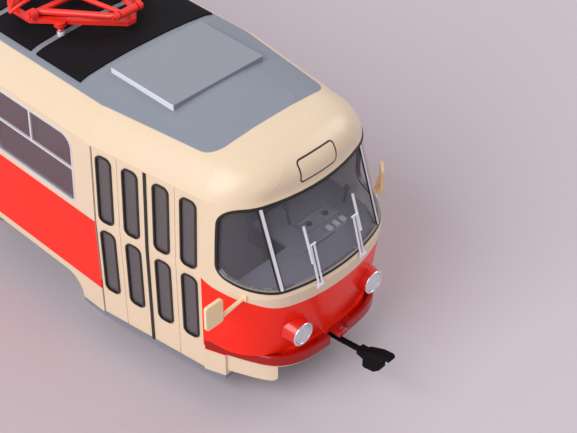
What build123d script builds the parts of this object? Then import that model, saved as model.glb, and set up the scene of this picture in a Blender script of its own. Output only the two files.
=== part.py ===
from build123d import *
from math import cos, radians, sin, sqrt, tan
import os

os.makedirs("parts", exist_ok=True)

# Model tram, 1:43, in millimetres. X points to the front end, Y to the left side, Z up.
# The floor is z = 0 and the origin is under the middle of the car.

# Car body: plan
half_width = 29.05
belt_nose = 162.2
skirt_tuck = 3.8
windscreen_lean = 7.9
nose_radius = 46.5
corner_radius = 13.0
taper_x = 109.6
taper_angle = 8.0
eave_tuck = 0.85

# Car body: heights
sill_z = 7.7
skirt_z = 9.0
belt_z = 38.5
eave_z = 61.0
roof_z = 70.41

# Roof
roof_flat_half = 5.0
roof_flat_nose = 128.0
roof_radius = 100.0
roof_corner = 1.5

# Low ends, with the recess for the bumper over the apron
low_back_x = 141.9
low_nose = 162.15
low_half_width = 24.5
cheek_end_x = 146.8
apron_inset = 0.7
apron_z = 10.4
apron_open_half = 16.2
apron_corner = 1.3
ledge_thickness = 0.7
recess_low_z = 15.9
recess_high_z = 19.2
recess_depth = 2.1

# Walls and clearances
wall = 1.2
fit = 0.05
gap = 0.3
overrun = 6.0
glass_depth = 0.3
glass_thickness = 0.7
trim_proud = 0.15

# Side windows
bay_pitch = 34.9
bay_count = 6
window_width = 31.3
window_low_z = 40.3
window_high_z = 59.5
window_top_radius = 3.6
window_bottom_radius = 1.6
frame_lip = 0.45
bar_width = 0.6
vent_bar_z = 50.4
cab_window_x = 126.0
cab_window_width = 24.0

# Windscreen
screen_low_z = 39.6
screen_high_z = 60.2
screen_back_x = 145.4
screen_rise = 2.6
screen_rise_x = 158.6
screen_top_radius = 4.2
screen_bottom_radius = 3.4
seal_lip = 0.6
pillar_y = 16.1
pillar_width = 1.1

# Doors
door_width = 31.8
door_high_z = 60.6
door_depth = 0.35
door_thickness = 0.8
leaf_pitch = 7.8
seam_width = 1.08
fold_groove = 0.2
fold_groove_depth = 0.15
leaf_window_width = 4.66
leaf_window_radius = 1.7
leaf_upper_z = (39.7, 59.0)
leaf_lower_z = (17.7, 37.1)
leaf_frame_lip = 0.42

# Wheels and bogies
bogie_x = 74.4
wheelbase = 44.2
wheel_radius = 8.14
flange_height = 0.6
gauge_inner = 34.4
flange_width = 0.8
tread_width = 2.8
hub_radius = 2.6
hub_length = 0.6
web_depth = 0.9
rim_thickness = 1.1
axle_radius = 1.1
axle_bore_clearance = 0.06
bogie_beam_y = 13.2
bogie_beam_thickness = 2.4
bogie_beam_height = 3.4
bogie_beam_drop = 1.2
axle_box_size = 5.6
bolster_length = 9.0
bolster_low_z = 6.4
bolster_high_z = 14.6
pivot_radius = 3.0
pivot_clearance = 0.08
pivot_head_radius = 4.6
pivot_head_height = 0.9
track_brake_length = 19.0
track_brake_height = 3.0
track_brake_width = 2.2
track_brake_clearance = 1.3
brake_link_width = 2.0
motor_radius = 4.8
motor_length = 15.0
motor_sink = 1.0

# Wheel arches
arch_half_length = 27.4
arch_top_z = 14.9
arch_radius = 6.0

# Chassis and interior
chassis_z = 17.3
chassis_thickness = 1.3
tray_thickness = 0.8
tray_clear = 1.5
equipment_low_z = 8.6
equipment_half_width = 19.0
screw_hole_radius = 1.25
screw_hole_depth = 6.0
screw_x = 24.0
seat_pitch = 17.6
seat_width = 9.6
seat_depth = 9.4
seat_height = 9.6
seat_back_height = 20.0
seat_cushion = 2.2
seat_back_thickness = 1.6
seat_edge = 0.5
seat_y = 19.5
seat_rows = 11
seat_first_x = 84.0
console_back_x = 146.5
console_top_z = 36.6
console_wall_gap = 0.6
knee_room_depth = 9.0
partition_x = 119.5
partition_thickness = 1.0
partition_high_z = 57.0
partition_right_y = -8.0
driver_x = 132.0
driver_y = 5.0
driver_seat_half = 5.2

# Bumpers
bumper_low_z = 16.0
bumper_high_z = 19.0
bumper_back_x = 142.0
bumper_thickness = 0.9
bumper_gap_half = 3.0
bumper_edge = 0.25
bracket_width = 2.4
bracket_height = 2.2
bracket_x = (147.0, 160.0)

# Lamps
lamp_y = 12.2
lamp_z = 26.0
lamp_face_x = 161.5
lamp_radius = 3.0
lens_radius = 2.6
lens_depth = 0.9
lens_dome = 0.45
lamp_depth = 3.2
lamp_flare = 10.0
tail_radius = 1.7
tail_face_x = 160.6

# Roof fittings
mat_half_width = 20.8
mat_height = 0.4
mat_spans = ((45.4, 61.7), (63.8, 80.1), (82.2, 98.5))
hatch_back_x = 101.4
hatch_front_x = 122.85
hatch_half_width = 14.14
hatch_top_z = 71.28
hatch_radius = 0.5
hatch_edge = 0.15
insulator_x = 9.2
insulator_y = 12.4
insulator_radius = 0.95
insulator_height = 2.3
insulator_foot = 0.8

# Pantograph, folded down
pantograph_x = 72.0
shaft_x = 3.6
shaft_z = 74.9
shaft_radius = 0.8
shaft_half = 17.4
lower_foot_y = 14.0
arm_length = 16.0
fold_angle = 3.2
lower_tube = 0.8
upper_tube = 0.6
knee_y = 3.5
knee_eye_width = 1.1
knee_pin_radius = 0.45
knee_pin_clearance = 0.06
knee_eye_radius = 1.05
upper_knee_y = 1.5
upper_knee_radius = 1.0
upper_head_y = 5.6
base_bar_height = 1.1
base_bar_width = 1.6
base_half_x = 20.9
base_point_x = 22.3
base_point_y = 20.0
base_foot_radius = 1.5
base_eye_radius = 1.3
base_half_y = 17.0
bearing_y = 16.1
bearing_width = 1.8
bearing_clearance = 0.06
bearing_radius = 1.3
head_pin_radius = 0.4
head_eye_y = 7.0
head_eye_width = 0.9
head_eye_radius = 1.0
knee_play = 0.45
head_rise = 1.3
strip_x = 2.2
strip_width = 1.3
strip_height = 0.8
strip_half = 12.6
horn_reach = 7.2
horn_drop = 2.6
horn_tube = 0.45
horn_bow = (0.72, 0.6, 0.2)

# Couplers
coupler_pivot_x = 151.0
coupler_z = 14.6
coupler_rod = 0.75
coupler_neck_x = 168.7
coupler_neck_z = 17.3
coupler_tip_x = 178.4
coupler_head_height = 8.4
coupler_width = 2.2
hook_edge = 0.15
coupler_boss_radius = 2.2
coupler_boss_height = 2.0
coupler_pin_radius = 0.8
coupler_pin_clearance = 0.06

# Mirrors and wipers
mirror_root = (152.9, 21.6, 38.6)
mirror_lug = 1.7
mirror_arm_radius = 0.5
mirror_width = 5.0
mirror_height = 6.8
mirror_thickness = 0.8
mirror_corner = 0.7
right_mirror = (152.0, -31.0, 39.0)
right_mirror_turn = 0.0
left_mirror = (148.5, 28.4, 41.3)
left_mirror_turn = 45.0
wiper_y = 7.0
wiper_root_z = 38.2
wiper_arm_z = 48.4
wiper_high_z = 53.1
wiper_low_z = 44.2
wiper_rod = 0.28
wiper_stand_off = 0.8
wiper_spread = 1.0
wiper_boss_radius = 0.55
wiper_blade = 0.34

# Share of the rise, side inset, nose inset, nose radius and corner radius of each roof outline,
# curved over the shoulder and nearly flat over the crown
shoulder_shares = (
    (0.0, 0.0, 0.0, 0.0, 0.0),
    (0.168, 0.0345, 0.0024, 0.02, 0.0),
    (0.386, 0.0957, 0.0081, 0.07, 0.0),
    (0.638, 0.197, 0.0656, 0.22, 0.078),
    (0.834, 0.332, 0.18, 0.45, 0.211),
    (0.914, 0.475, 0.332, 0.62, 0.344),
    (0.956, 0.647, 0.498, 0.8, 0.524),
)
crown_shares = (
    (0.988, 0.871, 0.81, 1.0, 0.783),
    (1.0, 1.0, 1.0, 1.0, 1.0),
)

# Share of the insulator's radius and height, from its foot up
insulator_shares = (
    (1.0, 0.0),
    (1.0, 0.22),
    (0.62, 0.34),
    (0.9, 0.5),
    (0.62, 0.66),
    (0.85, 0.8),
    (0.85, 1.0),
)

# Share of the coupler head's length and height, round its outline from the neck
hook_shares = (
    (0.0, 0.11),
    (0.18, 0.13),
    (0.29, 0.24),
    (0.66, 0.45),
    (0.95, 0.52),
    (1.0, 0.46),
    (1.0, 0.38),
    (0.74, 0.30),
    (0.70, 0.06),
    (0.73, -0.02),
    (0.73, -0.16),
    (0.55, -0.36),
    (0.26, -0.44),
    (0.20, -0.40),
    (0.20, -0.14),
    (0.0, -0.10),
)

# Share of a low end's length and half width, from the side round to the nose
low_end_shares = (
    (0.0, 1.0),
    (0.265, 0.92),
    (0.549, 0.82),
    (0.8, 0.69),
    (0.94, 0.5),
    (0.988, 0.256),
)

# Underfloor equipment: rear end, front end, share of the half width, share of the depth
equipment_rows = (
    (-40.0, -31.0, 0.7, 0.62),
    (-29.0, -4.0, 1.0, 1.0),
    (-2.0, 8.0, 0.8, 0.7),
    (10.0, 38.0, 1.0, 1.0),
)

slope = tan(radians(taper_angle))
chassis_top_z = chassis_z + chassis_thickness
tray_z = chassis_top_z + tray_clear
screen_slope = windscreen_lean / (eave_z - belt_z)


# Where the round nose meets the tapered side
def nose_corner(side, nose, radius):
    centre = nose - radius
    start = side + slope * (taper_x - centre)
    reach = (slope * start + sqrt(radius**2 * (1 + slope**2) - start**2)) / (1 + slope**2)
    return centre + reach, start - slope * reach


# One horizontal outline of the car, rounded at both ends
def plan(side, nose, radius, corner):
    tip_x, tip_y = nose_corner(side, nose, radius)
    with BuildSketch() as outline:
        with BuildLine():
            for end in (1, -1):
                ThreePointArc((end * tip_x, -tip_y), (end * nose, 0), (end * tip_x, tip_y))
                for hand in (1, -1):
                    Line((end * tip_x, hand * tip_y), (end * taper_x, hand * side))
            for hand in (1, -1):
                Line((-taper_x, hand * side), (taper_x, hand * side))
        make_face()
        tips = outline.vertices().filter_by(lambda v: abs(v.X) > (taper_x + tip_x) / 2)
        fillet(tips, corner)
    return outline.sketch


# Closed form of the car, grown or shrunk all round by one distance
def hull(grow):
    side = half_width + grow
    eave_side = side - eave_tuck
    nose = belt_nose + grow
    eave_nose = nose - windscreen_lean
    radius = nose_radius + grow
    corner = corner_radius + grow
    with BuildPart() as form:
        walls = (
            (sill_z - overrun, side, nose - skirt_tuck * (belt_z - sill_z + overrun) / (belt_z - sill_z)),
            (belt_z, side, nose),
            (eave_z, eave_side, eave_nose),
        )
        for height, width, reach in walls:
            with BuildSketch(Plane.XY.offset(height)):
                add(plan(width, reach, radius, corner))
        loft(ruled=True)
        for rows, straight in ((shoulder_shares, False), (shoulder_shares[-1:] + crown_shares, True)):
            for rise_share, side_share, nose_share, radius_share, corner_share in rows:
                height = eave_z + rise_share * (roof_z + grow - eave_z)
                width = eave_side + side_share * (roof_flat_half - eave_side)
                reach = eave_nose + nose_share * (roof_flat_nose - eave_nose)
                round_nose = radius + radius_share * (roof_radius - radius)
                round_corner = corner + corner_share * (roof_corner - corner)
                with BuildSketch(Plane.XY.offset(height)):
                    add(plan(width, reach, round_nose, round_corner))
            loft(ruled=straight)
    return form.part


outer = hull(0)
inner = hull(-wall)
trim_face = hull(trim_proud)
glass_face = hull(-glass_depth)
glass_back = hull(-glass_depth - glass_thickness)
door_face = hull(-door_depth)
door_back = hull(-door_depth - door_thickness)
door_groove_floor = hull(-door_depth - fold_groove_depth)


# Upright window outline with its own top and bottom corner radii
def window(width, low, high, top_radius, bottom_radius, lip=0):
    with BuildSketch() as pane:
        Rectangle(width - 2 * lip, high - low - 2 * lip)
        fillet(pane.vertices().group_by(Axis.Y)[-1], top_radius - lip)
        fillet(pane.vertices().group_by(Axis.Y)[0], bottom_radius - lip)
    return pane.sketch


# Side prism of an upright outline, from inside the car to beyond its wall
def side_prism(hand, places, outline):
    near = half_width / 2
    with BuildPart() as prism:
        with BuildSketch(Plane.XZ.offset(-hand * near)):
            with Locations(*places):
                add(outline)
        extrude(amount=-hand * near * 2)
    return prism.part


# Windscreen outline seen from the side, which runs round the whole end
def screen_prism(lip=0):
    back = screen_back_x + lip
    low = screen_low_z + lip
    high = screen_high_z - lip
    with BuildPart() as prism:
        with BuildSketch(Plane.XZ.offset(-half_width * 2)) as side:
            with BuildLine():
                Polyline(
                    (back, low + screen_rise),
                    (screen_rise_x, low),
                    (belt_nose + overrun, low),
                    (belt_nose + overrun, high),
                    (back, high),
                    close=True,
                )
            make_face()
            rear = side.vertices().group_by(Axis.X)[0].sort_by(Axis.Y)
            fillet(rear[1], screen_top_radius - lip)
            fillet(side.vertices().group_by(Axis.X)[0].sort_by(Axis.Y)[0], screen_bottom_radius - lip)
        extrude(amount=half_width * 4)
    return prism.part


window_mid_z = (window_low_z + window_high_z) / 2
side_pane = window(window_width, window_low_z, window_high_z, window_top_radius, window_bottom_radius)
side_glass = window(
    window_width, window_low_z, window_high_z, window_top_radius, window_bottom_radius, frame_lip
)
cab_pane = window(cab_window_width, window_low_z, window_high_z, window_top_radius, window_bottom_radius)
cab_glass = window(
    cab_window_width, window_low_z, window_high_z, window_top_radius, window_bottom_radius, frame_lip
)
bays = [(index - (bay_count - 1) / 2) * bay_pitch for index in range(bay_count)]
door_bay = 2
right_places = [(x, window_mid_z) for index, x in enumerate(bays) if index != door_bay]
left_places = [(x, window_mid_z) for x in bays]
cab_places = [(cab_window_x, window_mid_z), (-cab_window_x, window_mid_z)]
end_door_x = taper_x + door_width / 2
door_centres = {"door_front": end_door_x, "door_middle": bays[door_bay], "door_rear": -end_door_x}
screen_cut = screen_prism()
screen_glass = screen_prism(seal_lip)
right_cut = side_prism(-1, right_places, side_pane)
left_cut = side_prism(1, left_places, side_pane) + side_prism(1, cab_places, cab_pane)
right_glass = side_prism(-1, right_places, side_glass)
left_glass = side_prism(1, left_places, side_glass) + side_prism(1, cab_places, cab_glass)


# Block of the right wall that one double door fills
def door_block(centre, trim=0):
    height = door_high_z - skirt_z
    with BuildPart() as block:
        with BuildSketch(Plane.XZ.offset(half_width / 2)):
            with Locations((centre, skirt_z + height / 2)):
                Rectangle(door_width - 2 * trim, height - 2 * trim)
        extrude(amount=half_width)
    return block.part


# Writes one finished piece to its own file
def keep(name, part):
    part.label = name
    export_step(part, f"parts/{name}.step")


# Plain block between two corners
def block(low, high):
    with BuildPart() as form:
        with Locations(tuple((a + b) / 2 for a, b in zip(low, high))):
            Box(*[b - a for a, b in zip(low, high)])
    return form.part


# Plan of a low end, set in all round by one distance
def low_plan(inset):
    rim = [
        (low_back_x + x_share * (low_nose - inset - low_back_x), y_share * (low_half_width - inset))
        for x_share, y_share in low_end_shares
    ]
    with BuildSketch() as outline:
        with BuildLine():
            round_end = [(x, -y) for x, y in rim] + [(low_nose - inset, 0)] + rim[::-1]
            Spline(*round_end)
            Line(round_end[-1], round_end[0])
        make_face()
    return outline.sketch


# Low end between two heights, as a solid
def low_prism(inset, low, high):
    with BuildPart() as prism:
        with BuildSketch(Plane.XY.offset(low)):
            add(low_plan(inset))
        extrude(amount=high - low)
    return prism.part


# Apron, ledge, recess wall and cheeks of the front end
recess_core = low_prism(recess_depth, apron_z, recess_high_z + ledge_thickness)
low_end_block = block((low_back_x, -half_width, -overrun), (belt_nose, half_width, recess_high_z))
ceiling_block = block(
    (low_back_x, -half_width, recess_high_z), (belt_nose, half_width, recess_high_z + ledge_thickness)
)
with BuildPart() as low_end:
    add(low_prism(apron_inset, apron_z, recess_low_z))
    add(low_prism(apron_inset + wall, apron_z, recess_low_z - ledge_thickness), mode=Mode.SUBTRACT)
    opening_low = (low_back_x, -apron_open_half, 0)
    opening_high = (belt_nose, apron_open_half, recess_low_z - ledge_thickness)
    add(block(opening_low, opening_high), mode=Mode.SUBTRACT)
    add(block((low_back_x, -half_width, 0), (cheek_end_x, half_width, recess_low_z)), mode=Mode.SUBTRACT)
    bottom_edges = low_end.edges().filter_by(Axis.X).group_by(Axis.Z)[0]
    fillet(bottom_edges.filter_by(lambda edge: abs(edge.center().Y) < apron_open_half + fit), apron_corner)
    cheek_block = block((low_back_x, -half_width, skirt_z), (cheek_end_x, half_width, recess_low_z))
    cheek_core = low_prism(2 * wall, skirt_z, recess_low_z - ledge_thickness)
    add((low_prism(0, skirt_z, recess_low_z) & cheek_block) - cheek_core)
    add(outer & ceiling_block)
    add(low_prism(recess_depth, recess_low_z - ledge_thickness, recess_high_z))
    core = low_prism(recess_depth + wall, 0, recess_high_z + ledge_thickness)
    add(core, mode=Mode.SUBTRACT)
    rod_slot = block((low_back_x, -bumper_gap_half, 0), (belt_nose, bumper_gap_half, coupler_neck_z + gap))
    add(rod_slot, mode=Mode.SUBTRACT)

# Body shell: one hollow casting
with BuildPart() as body_shell:
    add(outer)
    add(inner, mode=Mode.SUBTRACT)
    add(block((-belt_nose, -half_width, -overrun), (belt_nose, half_width, skirt_z)), mode=Mode.SUBTRACT)
    add(low_end_block, mode=Mode.SUBTRACT)
    add(low_end_block.mirror(Plane.YZ), mode=Mode.SUBTRACT)
    add(right_cut, mode=Mode.SUBTRACT)
    add(left_cut, mode=Mode.SUBTRACT)
    add(screen_cut, mode=Mode.SUBTRACT)
    add(screen_cut.mirror(Plane.YZ), mode=Mode.SUBTRACT)
    for centre in door_centres.values():
        add(door_block(centre), mode=Mode.SUBTRACT)
    with BuildSketch(Plane.XZ.offset(-half_width * 2)) as arches:
        with Locations((bogie_x, arch_top_z / 2), (-bogie_x, arch_top_z / 2)):
            Rectangle(2 * arch_half_length, arch_top_z)
        fillet(arches.vertices().group_by(Axis.Y)[-1], arch_radius)
    extrude(amount=half_width * 4, mode=Mode.SUBTRACT)
    add(low_end.part)
    add(low_end.part.mirror(Plane.YZ))
keep("body_shell", body_shell.part)

# Doors: four folding leaves each, with a rubber seam in the middle
leaf_near = (seam_width + leaf_pitch) / 2
leaf_offsets = [hand * (leaf_near + step * leaf_pitch) for hand in (-1, 1) for step in (0, 1)]
fold_offsets = [hand * (leaf_near + leaf_pitch / 2) for hand in (-1, 1)]
door_mid_z = (skirt_z + door_high_z) / 2


# Window outlines of one door
def leaf_panes(centre, lip=0):
    with BuildSketch() as panes:
        for low, high in (leaf_upper_z, leaf_lower_z):
            with Locations(*[(centre + offset, (low + high) / 2) for offset in leaf_offsets]):
                add(window(leaf_window_width, low, high, leaf_window_radius, leaf_window_radius, lip))
    return panes.sketch


# Prism of a flat outline through the right wall
def right_prism(outline):
    with BuildPart() as prism:
        with BuildSketch(Plane.XZ.offset(half_width / 2)):
            add(outline)
        extrude(amount=half_width)
    return prism.part


with BuildSketch() as grooves:
    for centre in door_centres.values():
        with Locations(*[(centre + offset, door_mid_z) for offset in fold_offsets]):
            Rectangle(fold_groove, door_high_z)
with BuildSketch() as seams:
    with Locations(*[(centre, door_mid_z) for centre in door_centres.values()]):
        Rectangle(seam_width - 2 * fold_groove, door_high_z - skirt_z - 2 * fit)
with BuildSketch() as door_holes:
    for centre in door_centres.values():
        add(leaf_panes(centre))
with BuildSketch() as door_panes:
    for centre in door_centres.values():
        add(leaf_panes(centre, leaf_frame_lip))
groove_cut = right_prism(grooves.sketch) - door_groove_floor
seam_prism = right_prism(seams.sketch)
door_shell = door_face - door_back
hole_prism = right_prism(door_holes.sketch)
pane_prism = right_prism(door_panes.sketch)
for name, centre in door_centres.items():
    with BuildPart() as door:
        add(door_shell)
        add(door_block(centre, fit), mode=Mode.INTERSECT)
        add(hole_prism, mode=Mode.SUBTRACT)
        add(seam_prism, mode=Mode.SUBTRACT)
        add(groove_cut, mode=Mode.SUBTRACT)
    keep(name, door.part)
keep("door_seams", (outer - door_back) & seam_prism)
keep("door_frames", (outer - door_back) & (hole_prism - pane_prism))
keep("glass_doors", (door_groove_floor - door_back) & pane_prism)

# Side windows: glass, with a bright frame and bars round it
frame_shell = trim_face - glass_back
pane_shell = glass_face - glass_back
bar_shell = trim_face - glass_face
keep("glass_right", pane_shell & right_glass)
keep("glass_left", pane_shell & left_glass)


# Level bar and short upright bar of each window
def bars(hand, places, width):
    with BuildSketch() as cross:
        Rectangle(width, bar_width)
        upper = window_high_z - vent_bar_z
        with Locations((0, upper / 2)):
            Rectangle(bar_width, upper)
    middle = [(x, vent_bar_z) for x, _ in places]
    return side_prism(hand, middle, cross.sketch)


right_bars = bars(-1, right_places, window_width) & right_glass
left_bars = bars(1, left_places, window_width) & left_glass
keep("frames_right", (frame_shell & (right_cut - right_glass)) + (bar_shell & right_bars))
keep("frames_left", (frame_shell & (left_cut - left_glass)) + (bar_shell & left_bars))

# Windscreens: three panes behind a rubber seal, with two bright pillars
pillar_low = (0, pillar_y - pillar_width / 2, belt_z)
pillar_high = (belt_nose + overrun, pillar_y + pillar_width / 2, eave_z)
pillar_block = block(pillar_low, pillar_high)
pillar_pair = pillar_block + pillar_block.mirror(Plane.XZ)
front_glass = pane_shell & screen_glass
front_seal = frame_shell & (screen_cut - screen_glass)
front_pillars = bar_shell & (screen_glass & pillar_pair)
keep("glass_windscreen", front_glass)
keep("glass_rear", front_glass.mirror(Plane.YZ))
keep("seal_front", front_seal)
keep("seal_rear", front_seal.mirror(Plane.YZ))
keep("pillars_front", front_pillars)
keep("pillars_rear", front_pillars.mirror(Plane.YZ))

# Sill strips under the skirts, between the arches and the aprons
sill_shell = outer - inner
sill_spans = (
    (bogie_x + arch_half_length, low_back_x),
    (-bogie_x + arch_half_length, bogie_x - arch_half_length),
    (-low_back_x, -bogie_x - arch_half_length),
)
cheek_sill = low_prism(0, sill_z, skirt_z) - low_prism(2 * wall, sill_z, skirt_z)
cheek_sill &= block((low_back_x, -half_width, sill_z), (cheek_end_x, half_width, skirt_z))
with BuildPart() as sills:
    for near, far in sill_spans:
        add(sill_shell & block((near, -half_width, sill_z), (far, half_width, skirt_z)))
    add(cheek_sill)
    add(cheek_sill.mirror(Plane.YZ))
keep("sill_rails", sills.part)


# Bumper: a curved bar in two halves, on brackets from the recess wall
bumper_mid_z = (bumper_low_z + bumper_high_z) / 2
with BuildPart() as bumper:
    add(low_prism(0, bumper_low_z, bumper_high_z))
    for height in (bumper_low_z, bumper_high_z):
        rim = bumper.edges().filter_by(lambda edge: abs(edge.center().Z - height) < fit)
        chamfer(rim.filter_by(Axis.Y, reverse=True), bumper_edge)
    add(low_prism(bumper_thickness, bumper_low_z, bumper_high_z), mode=Mode.SUBTRACT)
    arm = block(
        (bracket_x[0], -half_width, bumper_mid_z - bracket_height / 2),
        (bracket_x[0] + bracket_width, half_width, bumper_mid_z + bracket_height / 2),
    )
    nose_arm = block(
        (bracket_x[1] - bracket_width, -bumper_gap_half - bracket_width, bumper_mid_z - bracket_height / 2),
        (low_nose, bumper_gap_half + bracket_width, bumper_mid_z + bracket_height / 2),
    )
    add(arm & low_prism(bumper_thickness / 2, bumper_low_z, bumper_high_z))
    add(nose_arm & low_prism(bumper_thickness / 2, bumper_low_z, bumper_high_z))
    add(recess_core, mode=Mode.SUBTRACT)
    add(block((0, -half_width, 0), (bumper_back_x, half_width, belt_z)), mode=Mode.SUBTRACT)
    add(block((0, -bumper_gap_half, 0), (belt_nose, bumper_gap_half, belt_z)), mode=Mode.SUBTRACT)
keep("bumper_front", bumper.part)
keep("bumper_rear", bumper.part.mirror(Plane.YZ))

# Lamps
lamp_plane = Plane(origin=(lamp_face_x, 0, lamp_z), x_dir=(0, 1, 0), z_dir=(1, 0, 0))
lamp_spots = [(lamp_y, 0), (-lamp_y, 0)]
with BuildPart() as housings:
    with BuildSketch(lamp_plane):
        with Locations(*lamp_spots):
            Circle(lamp_radius)
    extrude(amount=-lamp_depth, taper=-lamp_flare)
    with BuildSketch(lamp_plane):
        with Locations(*lamp_spots):
            Circle(lens_radius)
    extrude(amount=-lens_depth, mode=Mode.SUBTRACT)
    add(outer, mode=Mode.SUBTRACT)
keep("lamp_housings", housings.part)
with BuildPart() as lenses:
    with BuildSketch(lamp_plane.offset(fit - lens_depth)):
        with Locations(*lamp_spots):
            Circle(lens_radius - fit)
    extrude(amount=lens_depth - fit + lens_dome)
    fillet(lenses.edges().group_by(Axis.X)[-1], lens_dome)
keep("headlamps", lenses.part)
tail_plane = Plane(origin=(-tail_face_x, 0, lamp_z), x_dir=(0, 1, 0), z_dir=(-1, 0, 0))
with BuildPart() as tail_lamps:
    with BuildSketch(tail_plane):
        with Locations(*lamp_spots):
            Circle(tail_radius)
    extrude(amount=-lamp_depth)
    fillet(tail_lamps.edges().group_by(Axis.X)[0], lens_dome)
    add(outer, mode=Mode.SUBTRACT)
keep("tail_lamps", tail_lamps.part)

# Roof mats and hatch
insulator_spots = [
    (pantograph_x + end * insulator_x, hand * insulator_y) for end in (1, -1) for hand in (1, -1)
]
mat_skin = hull(mat_height)
with BuildPart() as mats:
    for near, far in mat_spans:
        add(block((near, -mat_half_width, eave_z), (far, mat_half_width, roof_z + mat_height)))
    add(mat_skin, mode=Mode.INTERSECT)
    add(outer, mode=Mode.SUBTRACT)
    with Locations(*[(x, y, roof_z) for x, y in insulator_spots]):
        Cylinder(insulator_radius + gap, 4 * mat_height, mode=Mode.SUBTRACT)
keep("roof_mats", mats.part)
with BuildPart() as hatch:
    add(block((hatch_back_x, -hatch_half_width, eave_z), (hatch_front_x, hatch_half_width, hatch_top_z)))
    fillet(hatch.edges().filter_by(Axis.Z), hatch_radius)
    fillet(hatch.edges().group_by(Axis.Z)[-1], hatch_edge)
    add(outer, mode=Mode.SUBTRACT)
keep("roof_hatch", hatch.part)

# Insulators: ribbed posts under the pantograph
with BuildPart() as insulator:
    with BuildSketch(Plane.XZ):
        with BuildLine():
            posts = [(0, 0)]
            for radius_share, height_share in insulator_shares:
                posts.append((insulator_radius * radius_share, insulator_height * height_share))
            Polyline(*posts, (0, insulator_height), close=True)
        make_face()
    revolve(axis=Axis.Z)
with BuildPart() as insulators:
    with Locations(*[(x, y, roof_z) for x, y in insulator_spots]):
        add(insulator.part)
        Cylinder(insulator_radius, insulator_foot)
    add(outer, mode=Mode.SUBTRACT)
keep("insulators", insulators.part)


# Round bar between two points
def bar(start, end, radius):
    path = Line(start, end)
    with BuildPart() as rod:
        with BuildSketch(Plane(origin=start, z_dir=path % 0)):
            Circle(radius)
        extrude(amount=path.length)
    return rod.part


# Round bar across the car, centred on the middle plane or on a given side distance
def cross_bar(x, z, radius, half, y=0):
    return bar((x, y - half, z), (x, y + half, z), radius)


# Pantograph base: a diamond frame with the shaft bearings
base_low_z = roof_z + insulator_height
bearing_spots = [(end * shaft_x, hand * bearing_y) for end in (1, -1) for hand in (1, -1)]
with BuildPart() as base:
    with BuildSketch(Plane.XY.offset(base_low_z)):
        Rectangle(2 * base_half_x, 2 * base_half_y)
        with Locations((0, 0)):
            points = ((base_point_x, 0), (0, base_point_y), (-base_point_x, 0), (0, -base_point_y))
            Polygon(*points, mode=Mode.INTERSECT)
        offset(amount=-base_bar_width, mode=Mode.SUBTRACT)
        with Locations((base_half_x - base_eye_radius, 0), (base_eye_radius - base_half_x, 0)):
            Circle(base_eye_radius)
        with Locations(*[(end * insulator_x, hand * insulator_y) for end in (1, -1) for hand in (1, -1)]):
            Circle(base_foot_radius)
    extrude(amount=base_bar_height)
    with BuildSketch(Plane.XY.offset(base_low_z + base_bar_height)):
        with Locations(*bearing_spots):
            Rectangle(2 * bearing_radius, bearing_width)
    extrude(amount=shaft_z - base_low_z - base_bar_height)
    for x, y in bearing_spots:
        add(cross_bar(x, shaft_z, bearing_radius, bearing_width / 2, y))
    for end in (1, -1):
        bore = cross_bar(end * shaft_x, shaft_z, shaft_radius + bearing_clearance, shaft_half * 2)
        add(bore, mode=Mode.SUBTRACT)
keep("panto_base", Pos(pantograph_x, 0, 0) * base.part)

# Pantograph arms, each a V of tubes between two pivots
rise = arm_length * sin(radians(fold_angle))
knee_x = shaft_x + arm_length * cos(radians(fold_angle))
knee_z = shaft_z + rise
head_z = knee_z + rise
with BuildPart() as lower_arm:
    add(cross_bar(shaft_x, shaft_z, shaft_radius, shaft_half))
    for hand in (1, -1):
        add(bar((shaft_x, hand * lower_foot_y, shaft_z), (knee_x, hand * knee_y, knee_z), lower_tube))
        add(cross_bar(knee_x, knee_z, knee_eye_radius, knee_eye_width / 2, hand * knee_y))
    knee_bore = cross_bar(knee_x, knee_z, knee_pin_radius + knee_pin_clearance, shaft_half)
    add(knee_bore, mode=Mode.SUBTRACT)
with BuildPart() as upper_arm:
    add(cross_bar(knee_x, knee_z, knee_pin_radius, knee_y + knee_eye_width))
    add(cross_bar(knee_x, knee_z, upper_knee_radius, knee_y - knee_eye_width / 2 - knee_play))
    for hand in (1, -1):
        add(bar((knee_x, hand * upper_knee_y, knee_z), (shaft_x, hand * upper_head_y, head_z), upper_tube))
    add(cross_bar(shaft_x, head_z, upper_tube, head_eye_y - head_eye_width / 2 - gap))
    add(cross_bar(shaft_x, head_z, head_pin_radius, head_eye_y + head_eye_width))
keep("panto_lower_front", Pos(pantograph_x, 0, 0) * lower_arm.part)
keep("panto_upper_front", Pos(pantograph_x, 0, 0) * upper_arm.part)
keep("panto_lower_rear", Pos(pantograph_x, 0, 0) * lower_arm.part.mirror(Plane.YZ))
keep("panto_upper_rear", Pos(pantograph_x, 0, 0) * upper_arm.part.mirror(Plane.YZ))

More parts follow.
